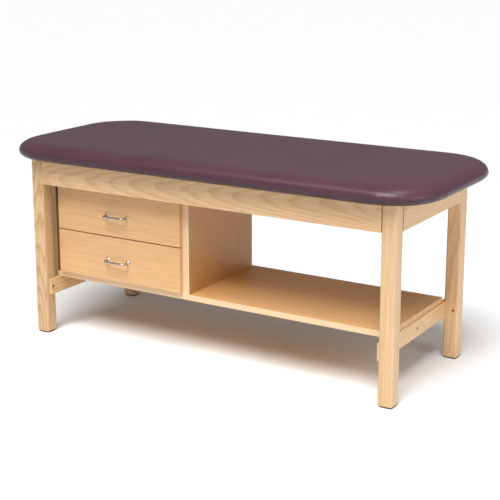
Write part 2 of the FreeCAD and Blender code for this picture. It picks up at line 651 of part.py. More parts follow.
def make_runner_pair(level, base, name, sign):
    low = runner_base(base)
    reach, top, thin = f"{-sign}*(sheet + runner_flange)", "runner_high", f"{-sign}*sheet"
    channel = [("0", "0"), (reach, "0"), (reach, "sheet"), (thin, "sheet"),
               (thin, f"{top} - sheet"), (reach, f"{top} - sheet"), (reach, top), ("0", top)]
    case = prism(f"{level}_case_runner_{name}", "XZ_Plane", (wall_side(sign, "0"), RUNNER_BACK, low),
                 channel, "runner_length")
    bore(case, (wall_side(sign, "-1"), f"{RUNNER_FRONT} + roller_inset", roller_height(base)),
         X * -sign, "pin_radius", "sheet + 2")
    flange = "(runner_lift + sheet + 2*roller_seat + 2*roller_radius)"
    outward, inward = f"{sign}*(sheet + drawer_flange)", f"{-sign}*(lip_wide - sheet)"
    skin = f"{sign}*sheet"
    angle = [("0", "0"), (inward, "0"), (inward, "-sheet"), (skin, "-sheet"), (skin, flange),
             (outward, flange), (outward, f"{flange} + sheet"), ("0", f"{flange} + sheet")]
    drawer = prism(f"{level}_drawer_runner_{name}", "XZ_Plane",
                   (wall_side(sign, "slide_gap"), f"{RUNNER_BACK} - 2", f"{base} + box_lift"),
                   angle, "runner_length - 2")
    bore(drawer, (wall_side(sign, "slide_gap + 1"), f"{RUNNER_BACK} - roller_inset",
                  roller_height(base)), X * sign, "pin_radius", "sheet + 2")
    for place in runner_screw_places():
        height = runner_screw_height(base)
        bore(case, (wall_side(sign, "-1"), place, height), X * -sign, "runner_screw_radius",
             "sheet + 2")
        bore(drawer, (wall_side(sign, "slide_gap + 1"), place, height), X * sign,
             "runner_screw_radius", "sheet + 2")


def roller():
    """A nylon wheel from z = 0 with a groove in its outer face."""
    radius, wide = size("roller_radius"), size("roller_wide")
    bore_radius = size("pin_radius + pin_clear")
    wheel = Part.makeCylinder(radius, wide).cut(Part.makeCylinder(bore_radius, wide + 2, Z * -1))
    ring = Part.makeCylinder(radius - 2, 1, Z * (wide - 1)).cut(
        Part.makeCylinder(bore_radius + 1.5, 1, Z * (wide - 1)))
    return wheel.cut(ring)


def make_slides():
    """Channels on the cabinet, angles on the drawer, and a roller at each meeting end."""
    wheel = roller()
    pin = headed_pin("pin_head_radius", "pin_head_thick", "pin_radius",
                     "sheet + 0.8 + roller_wide + 0.1")
    screw = headed_pin("runner_screw_head", "runner_screw_head_thick", "runner_screw_radius",
                       "runner_screw_length")
    case_pins, case_screws = [], []
    for level, base in DRAWERS.items():
        height = roller_height(base)
        front_row, back_row = f"{RUNNER_FRONT} + roller_inset", f"{RUNNER_BACK} - roller_inset"
        case_wheels, drawer_wheels, drawer_pins, drawer_screws = [], [], [], []
        for name, sign in SIDES.items():
            make_runner_pair(level, base, name, sign)
            spot = wall_side(sign, "sheet + 0.8")
            case_wheels.append(placed(wheel, (spot, front_row, height), X * -sign))
            spot = wall_side(sign, "slide_gap - sheet - 0.8")
            drawer_wheels.append(placed(wheel, (spot, back_row, height), X * sign))
            spot = wall_side(sign, "sheet + 0.9 + roller_wide")
            case_pins.append(placed(pin, (spot, front_row, height), X * sign))
            spot = wall_side(sign, "slide_gap - sheet - 0.9 - roller_wide")
            drawer_pins.append(placed(pin, (spot, back_row, height), X * -sign))
            for place in runner_screw_places():
                seat = (wall_side(sign, "sheet"), place, runner_screw_height(base))
                case_screws.append(placed(screw, seat, X * sign))
                seat = (wall_side(sign, "slide_gap - sheet"), place, runner_screw_height(base))
                drawer_screws.append(placed(screw, seat, X * -sign))
        cluster(f"{level}_case_rollers", case_wheels)
        cluster(f"{level}_drawer_rollers", drawer_wheels)
        cluster(f"{level}_drawer_roller_pins", drawer_pins)
        cluster(f"{level}_drawer_screws", drawer_screws + pull_screws(base))
    cluster("case_roller_pins", case_pins)
    cluster("case_runner_screws", case_screws)


def pull_screws(base):
    screw = headed_pin("pull_screw_head", "pull_screw_head_thick", "pull_screw_radius",
                       "pull_screw_length")
    return [placed(screw, (f"{CABINET_MIDDLE} + {sign}*pull_centres/2", FRONT_BACK,
                           f"{base} + pull_rise"), Y * -1) for sign in SIDES.values()]


# ---------------------------------------------------------------- upholstered top
def rounded_slab(name, inset, low, high, corner):
    half_length, half_width = f"(top_length/2 - {inset})", f"(top_width/2 - {inset})"
    slab = board(name, (f"-{half_length}", f"-{half_width}", low), (half_length, half_width, high))
    ease(slab, corner, along(Z))
    return slab


def make_table_board():
    board_piece = rounded_slab("table_board", "board_inset", BOARD_BOTTOM, BOARD_TOP,
                               "board_round")
    for spot in board_screw_spots():
        bore(board_piece, (*spot, f"{BOARD_BOTTOM} - 1"), Z, "screw_radius",
             "top_screw_bite - cover_skin + 1")


def board_screw_spots():
    """Two screws through each corner block and two through the bearer."""
    spots = [("0", "-cross_screw_setback"), ("0", "cross_screw_setback")]
    for side, end in corners():
        spots += [(str(round(side * spot.x, 3)), str(round(end * spot.y, 3)))
                  for spot in top_screw_spots()]
    return spots


def make_board_screws():
    screw = headed_pin("screw_head_radius", "screw_head_thick", "screw_radius",
                       "top_screw_length")
    seat = f"{PAD_BOTTOM} + top_screw_bite - top_screw_length"
    cluster("board_screws", [placed(screw, (*spot, seat), Z) for spot in board_screw_spots()])


def soft_shape(inset, low, high, top_round, under_round):
    """The pad's rounded form at a depth under its surface, as a plain solid."""
    length, width = size("top_length") - 2 * inset, size("top_width") - 2 * inset
    slab = Part.makeBox(length, width, high - low, Vector(-length / 2, -width / 2, low))
    uprights = [edge for edge in slab.Edges if along(Z)(edge)]
    slab = slab.makeFillet(size("corner_round") - inset, uprights)
    slab = slab.makeFillet(top_round, [edge for edge in slab.Edges if at_height(high)(edge)])
    return slab.makeFillet(under_round, [edge for edge in slab.Edges if at_height(low)(edge)])


def make_pad():
    """Foam over and around the board, and the vinyl that is pulled under it."""
    skin = size("cover_skin")
    low, high = size(PAD_BOTTOM), size("top_height")
    top_round, under_round = size("foam_round"), size("foam_under_round")
    core = soft_shape(skin, low + skin, high - skin, top_round - skin, under_round - skin)
    box = bodies["table_board"][0].Shape.BoundBox
    filled = Part.makeBox(box.XLength, box.YLength, box.ZLength,
                          Vector(box.XMin, box.YMin, box.ZMin))
    uprights = [edge for edge in filled.Edges if along(Z)(edge)]
    filled = filled.makeFillet(size("board_round"), uprights)
    foam = doc.addObject("Part::Feature", "pad_foam")
    foam.Shape = core.cut(filled)
    foam.Placement = Placement()
    bodies["pad_foam"] = (foam, ("0", "0", "0"))
    hull = soft_shape(0, low, high, top_round, under_round)
    turn = size("cover_turn_under")
    hole = Part.makeBox(size("top_length") - 2 * turn, size("top_width") - 2 * turn, 20,
                        Vector(turn - size("top_length/2"), turn - size("top_width/2"), low - 10))
    cover = doc.addObject("Part::Feature", "pad_cover")
    cover.Shape = hull.cut(core).cut(hole)
    cover.Placement = Placement()
    bodies["pad_cover"] = (cover, ("0", "0", "0"))


# ---------------------------------------------------------------- build, check and write
def build():
    make_legs()
    make_aprons()
    make_corner_joints()
    make_rails()
    make_rail_bolts()
    make_cross_rail()
    make_shelf()
    make_cabinet()
    make_assembly_screws()
    for level, base in DRAWERS.items():
        make_drawer(level, base)
    make_slides()
    make_table_board()
    make_board_screws()
    doc.recompute()
    make_pad()
    doc.recompute()


def check():
    for item in doc.Objects:
        faults = [state for state in item.State if state in ("Invalid", "Error")]
        assert not faults, f"{item.Label}: {faults}"
    for name, (piece, _) in bodies.items():
        assert not piece.Shape.isNull() and piece.Shape.isValid(), f"{name} has no valid shape"
        print(f"{name}: {len(piece.Shape.Solids)} solids, {piece.Shape.Volume / 1000:.1f} cm3")


def write():
    os.makedirs("parts", exist_ok=True)
    for name, (piece, _) in bodies.items():
        piece.Shape.exportStep(f"parts/{name}.step")


build()
check()
write()
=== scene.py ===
# %% [markdown]
# # An upholstered treatment table
# The table is a solid ash frame with a two-drawer cabinet on its shelf and a vinyl-covered foam pad on top.
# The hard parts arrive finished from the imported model, so this lesson gives them their timber, metal and
# plastic, and makes by hand what a solid model can't show well: the stretched, stuffed pad. A board that
# closes a gap and the staples under the pad are added at the end.

# %% Load the frame
import json
import math

import bmesh
import bpy
import numpy as np
from mathutils import Matrix, Vector

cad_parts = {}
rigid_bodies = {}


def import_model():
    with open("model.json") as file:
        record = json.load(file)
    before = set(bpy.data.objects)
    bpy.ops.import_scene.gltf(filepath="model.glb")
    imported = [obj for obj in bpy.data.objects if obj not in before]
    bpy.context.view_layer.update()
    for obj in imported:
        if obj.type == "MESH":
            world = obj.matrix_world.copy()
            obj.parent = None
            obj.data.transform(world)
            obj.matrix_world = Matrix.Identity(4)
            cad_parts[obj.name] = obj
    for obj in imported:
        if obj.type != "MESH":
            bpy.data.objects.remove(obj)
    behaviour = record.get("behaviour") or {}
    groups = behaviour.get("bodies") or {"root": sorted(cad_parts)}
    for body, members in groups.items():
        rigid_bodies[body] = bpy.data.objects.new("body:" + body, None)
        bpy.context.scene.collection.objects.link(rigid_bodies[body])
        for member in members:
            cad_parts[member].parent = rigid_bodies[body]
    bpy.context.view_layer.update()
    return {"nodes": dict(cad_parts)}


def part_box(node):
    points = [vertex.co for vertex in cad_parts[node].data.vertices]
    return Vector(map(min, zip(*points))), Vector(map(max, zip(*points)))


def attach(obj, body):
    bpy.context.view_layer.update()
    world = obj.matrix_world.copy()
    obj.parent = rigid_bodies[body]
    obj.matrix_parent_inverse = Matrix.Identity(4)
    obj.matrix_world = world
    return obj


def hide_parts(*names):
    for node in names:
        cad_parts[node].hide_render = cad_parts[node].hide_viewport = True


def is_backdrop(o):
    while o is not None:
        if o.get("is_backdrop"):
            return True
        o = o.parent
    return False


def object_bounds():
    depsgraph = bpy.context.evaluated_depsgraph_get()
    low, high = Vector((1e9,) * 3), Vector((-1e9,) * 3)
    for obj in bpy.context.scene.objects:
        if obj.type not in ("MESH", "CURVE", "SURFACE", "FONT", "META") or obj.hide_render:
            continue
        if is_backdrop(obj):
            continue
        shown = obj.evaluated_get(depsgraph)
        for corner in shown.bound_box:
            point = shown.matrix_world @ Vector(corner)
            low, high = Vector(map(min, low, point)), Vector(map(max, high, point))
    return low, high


for leftover in list(bpy.data.objects):
    bpy.data.objects.remove(leftover)
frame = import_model()
scene = bpy.context.scene

# %% [markdown]
# ## The camera
# The table is seen from its front right, a little above the pad, with a long lens so that its sides stay
# nearly parallel. A small downward shift puts the table where it belongs in the picture without tipping
# the camera further, which would make the legs lean more.

# %% Place the camera
LENS, SHIFT, FAR = 87.1, -0.10, 200
TURN, TIP = math.radians(31.46), math.radians(12.95)
camera = bpy.data.objects.new("camera", bpy.data.cameras.new("camera"))
scene.collection.objects.link(camera)
camera.location = (2.408, -3.885, 1.635)
camera.rotation_euler = (math.pi / 2 - TIP, 0, TURN)
camera.data.lens = LENS
camera.data.shift_y = SHIFT
camera.data.clip_end = FAR
scene.camera = camera
print("camera", [round(place, 3) for place in camera.location], "lens", LENS)

# %% [markdown]
# ## Light and floor
# The main light hangs high in front of the table, so its shadow lies soft and dark beneath and behind it. A
# wide sun does that evenly over the whole floor. A soft panel on the right fills the ends of the frame, a
# narrow strip overhead draws the long highlight on the rounded front edge of the pad, and a small round
# lamp adds a gleam at the pad's front right corner.

# %% Light the studio
SUN_SPREAD = math.radians(34)
ROOM_LIGHT = 0.25
scene.view_settings.view_transform = "Standard"
world = bpy.data.worlds.new("studio")
scene.world = world
world.use_nodes = True
world.node_tree.nodes["Background"].inputs["Color"].default_value = (1, 1, 1, 1)
world.node_tree.nodes["Background"].inputs["Strength"].default_value = ROOM_LIGHT


def hang_light(name, kind, place, aim, energy, **settings):
    """A light at one point, turned to face another."""
    lamp = bpy.data.objects.new(name, bpy.data.lights.new(name, kind))
    scene.collection.objects.link(lamp)
    lamp.location = place
    lamp.rotation_euler = (Vector(aim) - Vector(place)).to_track_quat("-Z", "Y").to_euler()
    lamp.data.energy = energy
    for setting, value in settings.items():
        setattr(lamp.data, setting, value)


hang_light("high_front", "SUN", (0.6, -2.55, 4.2), (0, 0, 0), 3.25, angle=SUN_SPREAD)
hang_light("right_fill", "AREA", (4.2, -0.9, 1.9), (0.6, 0, 0.4), 35,
           shape="RECTANGLE", size=2.2, size_y=1.6)
hang_light("edge_strip", "AREA", (0.45, -0.98, 2.5), (0.5, -0.36, 0.76), 16,
           shape="RECTANGLE", size=2.8, size_y=0.3)
hang_light("corner_glow", "AREA", (1.0, -0.12, 2.3), (0.8, -0.3, 0.76), 5, shape="DISK", size=0.35)

# %% Lay the floor
FLOOR_HALF = 45.0


def stand(name, shape):
    """A new object that takes over a finished bmesh."""
    piece = bpy.data.objects.new(name, bpy.data.meshes.new(name))
    shape.to_mesh(piece.data)
    shape.free()
    scene.collection.objects.link(piece)
    return piece


sheet = bmesh.new()
bmesh.ops.create_grid(sheet, x_segments=1, y_segments=1, size=FLOOR_HALF)
floor = stand("floor", sheet)
floor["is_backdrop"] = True
print("floor", FLOOR_HALF * 2, "metres across")

# %% [markdown]
# ## Tools for making finishes
# Every finish is a small network of nodes that reads Object coordinates. The objects all sit at the origin,
# so those coordinates are metres in the room, and one ring of timber can be written down in millimetres.

# %% Helpers for node networks
MM = 0.001
WHITE = (1, 1, 1)


def add(tree, kind, inputs=None, **settings):
    """A node with its settings, and its sockets set or wired."""
    made = tree.nodes.new(kind)
    for setting, value in settings.items():
        setattr(made, setting, value)
    for socket, value in (inputs or {}).items():
        if isinstance(value, bpy.types.NodeSocket):
            tree.links.new(value, made.inputs[socket])
        else:
            made.inputs[socket].default_value = value
    return made


def sums(tree, operation, first, second=0.0):
    return add(tree, "ShaderNodeMath", {0: first, 1: second}, operation=operation).outputs[0]


def blend_colours(tree, amount, first, second, way="MIX"):
    inputs = {0: amount, 6: first, 7: second}
    return add(tree, "ShaderNodeMix", inputs, data_type="RGBA", blend_type=way).outputs[2]


def speckle(tree, place, scale, detail=2.0, rough=0.5):
    """Noise stretched by a different number of cells a metre along each axis, from 0 to 1."""
    stretched = add(tree, "ShaderNodeVectorMath", {0: place, 1: scale}, operation="MULTIPLY").outputs[0]
    noise = {"Vector": stretched, "Scale": 1.0, "Detail": detail, "Roughness": rough}
    return add(tree, "ShaderNodeTexNoise", noise).outputs["Fac"]


def shades(tree, value, stops):
    """A colour ramp through (place, colour) stops."""
    made = add(tree, "ShaderNodeValToRGB", {"Fac": value})
    ramp = made.color_ramp
    while len(ramp.elements) < len(stops):
        ramp.elements.new(1.0)
    for element, (place, colour) in zip(ramp.elements, stops):
        element.position = place
        element.color = (*colour, 1)
    return made.outputs["Color"]


def tinted(tree, colour, value, stops, amount=1.0):
    """A colour multiplied by a ramp, which darkens or warms it in places."""
    return blend_colours(tree, amount, colour, shades(tree, value, stops), "MULTIPLY")


def new_finish(name, **uniform):
    """A material with its even values set on the shader's own sockets."""
    finish = bpy.data.materials.new(name)
    finish.use_nodes = True
    tree = finish.node_tree
    shader = tree.nodes["Principled BSDF"]
    for socket, value in uniform.items():
        shader.inputs[socket.replace("_", " ")].default_value = value
    place = tree.nodes.new("ShaderNodeTexCoord").outputs["Object"]
    return finish, tree, shader, place


def relief(tree, shader, height, depth):
    bump = add(tree, "ShaderNodeBump", {"Height": height, "Distance": depth, "Strength": 1.0})
    tree.links.new(bump.outputs["Normal"], shader.inputs["Normal"])


def vary(tree, shader, value, low, high):
    """Roughness that wanders between two values."""
    made = add(tree, "ShaderNodeMapRange", {"Value": value, "To Min": low, "To Max": high})
    tree.links.new(made.outputs[0], shader.inputs["Roughness"])


# %% Finish the floor
finish, tree, shader, place = new_finish("studio_floor", Roughness=0.9)
tree.links.new(
    shades(tree, speckle(tree, place, (3, 3, 3)), [(0.3, (0.89, 0.89, 0.89)), (0.7, (0.91, 0.91, 0.91))]),
    shader.inputs["Base Color"])
floor.data.materials.append(finish)
print("made", finish.name)

# %% [markdown]
# ## Solid ash
# Ash is a pale timber with strong growth rings. A board is a slice through rings that run round the tree's
# pith, so the rings are worked out as they really are: the distance from a line, the pith, that lies behind
# the board and leans a few degrees. Where the slice runs nearly along the rings they open into tall
# arches, and elsewhere they stay straight. Each board has its own pith, so no two have the same figure.

# %% Turn a board's length to run along X
TURNS = {"X": (0, 0, 0), "Y": (0, 0, -math.pi / 2), "Z": (0, math.pi / 2, 0)}


def board_space(tree, place, node, along):
    """Coordinates in metres from a board's middle, with X along its grain."""
    low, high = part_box(node)
    middle = tuple((low + high) / 2)
    centred = add(tree, "ShaderNodeVectorMath", {0: place, 1: middle}, operation="SUBTRACT").outputs[0]
    return add(tree, "ShaderNodeMapping", {"Vector": centred, "Rotation": TURNS[along]}).outputs[0]


def longest_side(node):
    low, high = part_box(node)
    sides = high - low
    return "XYZ"[max(range(3), key=lambda axis: sides[axis])]


# %% Growth rings
ASH_EARLY, ASH_LATE = (0.77, 0.53, 0.305), (0.63, 0.375, 0.17)
ASH_RING, ASH_WOBBLE = 6.5 * MM, 17 * MM
# painted shade: the two front legs are darkened because they face the light
PAINTED_SHADE_TONES = {"leg_front_left": 0.84, "leg_front_right": 0.89}  # these face the light and would look too pale


def growth_rings(tree, grain, pith, lean, ring, wobble):
    """From 0 to 1 across each ring round a leaning pith."""
    bent = add(tree, "ShaderNodeMapping", {
        "Vector": grain, "Rotation": (0, math.radians(lean * 0.6), math.radians(lean)),
        "Location": (0, -pith[0], -pith[1])}).outputs[0]
    across = add(tree, "ShaderNodeVectorMath", {0: bent, 1: (0, 1, 1)}, operation="MULTIPLY").outputs[0]
    radius = add(tree, "ShaderNodeVectorMath", {0: across}, operation="LENGTH").outputs["Value"]
    drift = sums(tree, "MULTIPLY", speckle(tree, grain, (2.6, 13, 13), 3.0), wobble)
    return sums(tree, "FRACT", sums(tree, "DIVIDE", sums(tree, "ADD", radius, drift), ring))


def ash_finish(node, along, pith, lean, strength=1.0):
    finish, tree, shader, place = new_finish(
        "ash_" + node, Specular_IOR_Level=0.4, Coat_Weight=0.12, Coat_Roughness=0.3)
    grain = board_space(tree, place, node, along)
    rings = growth_rings(tree, grain, pith, lean, ASH_RING, ASH_WOBBLE)
    # painted shade on the front legs, a darker copy of the same ash
    shade_tone = PAINTED_SHADE_TONES.get(node, 1.0)
    early = tuple(e * shade_tone for e in ASH_EARLY)
    late = tuple((e + (l - e) * strength) * shade_tone for e, l in zip(ASH_EARLY, ASH_LATE))
    colour = shades(tree, rings, [(0.0, late), (0.10, early), (0.55, early), (0.92, late)])
    streaks = speckle(tree, grain, (4, 190, 190), 4.0, 0.6)
    colour = tinted(tree, colour, streaks, [(0.25, (0.86, 0.82, 0.76)), (0.6, WHITE)])
    drift = speckle(tree, grain, (1.1, 7, 7))
    colour = tinted(tree, colour, drift, [(0.3, (0.93, 0.88, 0.82)), (0.7, WHITE)])
    pores = speckle(tree, grain, (34, 1500, 1500), 1.0)
    colour = tinted(tree, colour, pores, [(0.30, (0.74, 0.66, 0.56)), (0.38, WHITE)])
    tree.links.new(colour, shader.inputs["Base Color"])
    relief(tree, shader, pores, 0.12 * MM)
    vary(tree, shader, streaks, 0.34, 0.5)
    return finish


# %% [markdown]
# ## Maple-faced panels
# The shelf, cabinet and drawer fronts are flat panels faced with maple, which is smoother and more even than
# ash. A thin pale band of solid wood is glued along each front edge to hide the core, so that first millimetre
# is lighter than the face behind it. The shelf is warmed a little. The cabinet's right side, which faces into
# the shade under the table top, is darkened and warmed with painted shade. The left side's edge, which stands
# in the gap beside the leg, is painted dark as painted shade, so that the gap reads as a shadow line.

# %% Panel finish
MAPLE_PALE, MAPLE_WARM = (0.71, 0.435, 0.215), (0.61, 0.345, 0.15)
# the pale band is the real edging; the dark edge is painted shade for the gap beside the leg
MAPLE_BAND, PAINTED_SHADE_EDGE = (0.78, 0.55, 0.335), (0.17, 0.085, 0.035)
MAPLE_RING, MAPLE_WOBBLE, BAND_DEEP = 11 * MM, 34 * MM, 1.2 * MM
MAPLE_PITH, MAPLE_LEAN = (0.22, 0.05), 1.6
# painted shade and warming: the cabinet's right side is darkened to stand for the shade under the top, the
# shelf is only warmed
WARMTH_AND_PAINTED_SHADE = {"cabinet_side_right": (0.78, 0.66, 0.46), "lower_shelf": (0.98, 0.95, 0.84)}


def maple_finish(node, along, banded):
    finish, tree, shader, place = new_finish(
        "maple_" + node, Specular_IOR_Level=0.4, Coat_Weight=0.1, Coat_Roughness=0.35)
    grain = board_space(tree, place, node, along)
    rings = growth_rings(tree, grain, MAPLE_PITH, MAPLE_LEAN, MAPLE_RING, MAPLE_WOBBLE)
    soft = tuple((p * 2 + w) / 3 for p, w in zip(MAPLE_PALE, MAPLE_WARM))
    colour = shades(tree, rings, [(0.0, soft), (0.3, MAPLE_PALE), (0.7, MAPLE_PALE), (1.0, soft)])
    flecks = speckle(tree, grain, (7, 240, 240), 4.0, 0.62)
    colour = tinted(tree, colour, flecks, [(0.3, (0.88, 0.84, 0.78)), (0.62, WHITE)])
    cloudy = speckle(tree, grain, (2.2, 9, 9), 2.0)
    colour = tinted(tree, colour, cloudy, [(0.3, (0.94, 0.90, 0.85)), (0.7, WHITE)])
    # painted shade on the cabinet's right side, a warmer tint on the shelf
    if node in WARMTH_AND_PAINTED_SHADE:
        colour = blend_colours(tree, 1.0, colour, (*WARMTH_AND_PAINTED_SHADE[node], 1), "MULTIPLY")
    if banded:
        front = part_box(node)[0].y
        deep = add(tree, "ShaderNodeSeparateXYZ", {0: place}).outputs["Y"]
        at_edge = sums(tree, "LESS_THAN", deep, front + BAND_DEEP)
        # painted shade: the left side's front edge is dark to stand for the shadow in the gap beside the leg
        edge = PAINTED_SHADE_EDGE if node == "cabinet_side_left" else MAPLE_BAND
        band = shades(tree, flecks, [(0.3, tuple(c * 0.93 for c in edge)), (0.6, edge)])
        colour = blend_colours(tree, at_edge, colour, band)
    tree.links.new(colour, shader.inputs["Base Color"])
    relief(tree, shader, flecks, 0.04 * MM)
    vary(tree, shader, cloudy, 0.36, 0.48)
    return finish


# %% [markdown]
# ## Plywood and sawn timber
# The drawer boxes are birch plywood, which shows its layers wherever an edge is cut. Because the layers are
# stacked through the sheet, colour that depends only on the depth in the sheet is even on the broad faces
# and striped on every cut edge, with nothing to line up by hand. Hidden blocks are plain sawn wood.

# %% Plywood finish
PLY = 1.5 * MM
LONG_LAYER, CROSS_LAYER, GLUE_LINE = (0.80, 0.60, 0.37), (0.68, 0.46, 0.25), (0.50, 0.31, 0.15)


def ply_finish(node, along, thin):
    finish, tree, shader, place = new_finish("ply_" + node, Specular_IOR_Level=0.35)
    sheet_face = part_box(node)[0]["XYZ".index(thin)]
    grain = board_space(tree, place, node, along)
    through = add(tree, "ShaderNodeSeparateXYZ", {0: place}).outputs[thin]
    depth = sums(tree, "SUBTRACT", through, sheet_face)
    layer = sums(tree, "FRACT", sums(tree, "DIVIDE", depth, PLY * 2))
    colour = shades(tree, layer, [
        (0.0, LONG_LAYER), (0.46, LONG_LAYER), (0.5, GLUE_LINE), (0.54, CROSS_LAYER), (0.97, CROSS_LAYER)])
    flecks = speckle(tree, grain, (5, 150, 150), 4.0, 0.6)
    colour = tinted(tree, colour, flecks, [(0.3, (0.85, 0.80, 0.72)), (0.65, WHITE)])
    tree.links.new(colour, shader.inputs["Base Color"])
    relief(tree, shader, flecks, 0.06 * MM)
    vary(tree, shader, flecks, 0.45, 0.62)
    return finish


def sawn_finish(node, along):
    finish, tree, shader, place = new_finish("sawn_" + node, Specular_IOR_Level=0.25)
    grain = board_space(tree, place, node, along)
    rings = growth_rings(tree, grain, (0.06, 0.03), 2.0, 5 * MM, 12 * MM)
    colour = shades(tree, rings, [
        (0.0, (0.52, 0.32, 0.14)), (0.15, (0.74, 0.54, 0.31)), (0.8, (0.68, 0.47, 0.25))])
    marks = speckle(tree, grain, (240, 18, 18), 2.0)
    colour = tinted(tree, colour, marks, [(0.3, (0.84, 0.80, 0.74)), (0.6, WHITE)], 0.5)
    tree.links.new(colour, shader.inputs["Base Color"])
    relief(tree, shader, marks, 0.1 * MM)
    vary(tree, shader, marks, 0.62, 0.8)
    return finish


# %% [markdown]
# ## Metal and plastic
# The pulls are nickel brushed along their length, the screws are bright zinc, the rail bolts are blackened,
# and the drawer runners have a white powder coat. Each is one even colour broken up at its own scale: long
# fine scratches on brushed metal, soft cloudy patches on zinc, a faint orange-peel skin on powder coat.

# %% Hardware finishes
def hardware_finish(name, dark, light, scale, rough, depth, **uniform):
    finish, tree, shader, place = new_finish(name, **uniform)
    mottle = speckle(tree, place, scale, 3.0)
    tree.links.new(shades(tree, mottle, [(0.3, dark), (0.7, light)]), shader.inputs["Base Color"])
    vary(tree, shader, mottle, *rough)
    relief(tree, shader, mottle, depth)
    return finish


HARDWARE = {
    "satin_nickel": hardware_finish(
        "satin_nickel", (0.36, 0.34, 0.33), (0.50, 0.47, 0.45), (60, 5200, 5200), (0.26, 0.40), 0.01 * MM,
        Metallic=1.0, Anisotropic=0.4),
    "zinc_steel": hardware_finish(
        "zinc_steel", (0.52, 0.53, 0.53), (0.70, 0.70, 0.67), (420, 420, 420), (0.24, 0.42), 0.01 * MM,
        Metallic=1.0),
    "black_steel": hardware_finish(
        "black_steel", (0.018, 0.018, 0.020), (0.045, 0.043, 0.042), (900, 900, 900), (0.38, 0.55), 0.02 * MM,
        Metallic=0.6),
    "white_enamel": hardware_finish(
        "white_enamel", (0.78, 0.77, 0.74), (0.84, 0.83, 0.80), (620, 620, 620), (0.30, 0.40), 0.03 * MM),
    "nylon": hardware_finish(
        "nylon", (0.76, 0.76, 0.73), (0.84, 0.84, 0.82), (300, 300, 300), (0.42, 0.55), 0.02 * MM,
        Subsurface_Weight=0.1),
    "black_glide": hardware_finish(
        "black_glide", (0.016, 0.016, 0.017), (0.034, 0.034, 0.035), (800, 800, 800), (0.48, 0.65), 0.04 * MM),
}
print("hardware", sorted(HARDWARE))

# %% [markdown]
# ## Giving each part its finish
# Each part's record says which slot it takes, so only the direction of the grain and the cut of the board are
# decided here. A cabinet side is wider than it is tall but its grain still runs upright, so it is named.

# %% Assign the finishes
UPRIGHT = {"cabinet_side_left", "cabinet_side_right"}
BANDED = {"lower_shelf", "cabinet_side_left", "cabinet_side_right", "cabinet_top"}
CUTS = {  # the pith behind the board, across and up in metres, its lean in degrees, and the strength of figure
    "apron_front": (0.095, 0.004, 3.4, 0.65),
    "apron_rear": (-0.100, 0.020, 2.2, 0.9),
    "apron_left": (0.110, 0.030, 2.6, 0.8),
    "apron_right": (-0.120, 0.045, 2.0, 0.7),
    "leg_front_left": (0.058, 0.004, -3.4, 1.0),
    "leg_front_right": (0.190, 0.090, 0.7, 0.25),
    "leg_rear_left": (0.120, -0.060, 1.5, 0.7),
    "leg_rear_right": (0.095, 0.022, 2.0, 0.55),
    "end_rail_right": (-0.140, 0.060, 0.8, 0.5),
}
PLAIN_CUT = (0.120, 0.050, 1.2, 0.7)

for name, part in sorted(frame["nodes"].items()):
    kind = part.material_slots[0].material.name.split(".")[0]
    along = "Z" if name in UPRIGHT else longest_side(name)
    if kind == "ash_wood":
        *pith, lean, strength = CUTS.get(name, PLAIN_CUT)
        finish = ash_finish(name, along, pith, lean, strength)
    elif kind == "maple_laminate":
        finish = maple_finish(name, along, name in BANDED)
    elif kind == "birch_ply":
        low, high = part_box(name)
        finish = ply_finish(name, along, "XYZ"[min(range(3), key=lambda axis: (high - low)[axis])])
    elif kind == "hidden_wood":
        finish = sawn_finish(name, along)
    elif kind in HARDWARE:
        finish = HARDWARE[kind]
    else:
        continue
    for holder in part.material_slots:
        holder.material = finish
print("finishes", len(bpy.data.materials))

# %% [markdown]
# ## Vinyl
# Upholstery vinyl is a soft plastic skin printed with a fine leather grain, about a millimetre and a half from
# pore to pore. Two sizes of cell are laid over each other, and the satin comes from a middling roughness that
# wanders a little, as it does where hands and cleaning cloths have been. Below the widest part of the pad the
# colour is darkened with painted shade, so that the edge reads as turning under.

# %% Vinyl finish
VINYL_DARK, VINYL_PALE = (0.062, 0.024, 0.037), (0.083, 0.034, 0.049)
UNDER_RISE = 22 * MM  # from the pad's underside to its widest part
# painted shade below the pad's widest part
PAINTED_UNDER_SHADE = 0.4
GRAIN_CELLS = 680.0  # a metre
pad_low, pad_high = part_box("pad_cover")
vinyl, tree, shader, place = new_finish("aubergine_vinyl", Specular_IOR_Level=0.29)
height = add(tree, "ShaderNodeSeparateXYZ", {0: place}).outputs["Z"]
shade_from, shade_to = pad_low.z + UNDER_RISE / 3, pad_low.z + UNDER_RISE * 1.5
painted_shade_rise = add(tree, "ShaderNodeMapRange", {
    "Value": height, "From Min": shade_from, "From Max": shade_to}).outputs[0]
cells = add(tree, "ShaderNodeTexVoronoi", {"Vector": place, "Scale": GRAIN_CELLS},
            feature="SMOOTH_F1").outputs["Distance"]
creases = speckle(tree, place, (260, 260, 260), 4.0, 0.6)
cloudy = speckle(tree, place, (4, 4, 4), 3.0)
mottle = sums(tree, "ADD", sums(tree, "MULTIPLY", creases, 0.35), sums(tree, "MULTIPLY", cloudy, 0.65))
colour = shades(tree, mottle, [(0.3, VINYL_DARK), (0.7, VINYL_PALE)])
# the colour is darkened towards the underside: painted shade
tree.links.new(
    tinted(tree, colour, painted_shade_rise, [(0.0, (PAINTED_UNDER_SHADE,) * 3), (1.0, WHITE)]), shader.inputs["Base Color"])
relief(tree, shader, sums(tree, "ADD", cells, sums(tree, "MULTIPLY", creases, 0.6)), 0.10 * MM)
vary(tree, shader, cloudy, 0.30, 0.37)
print("made", vinyl.name)

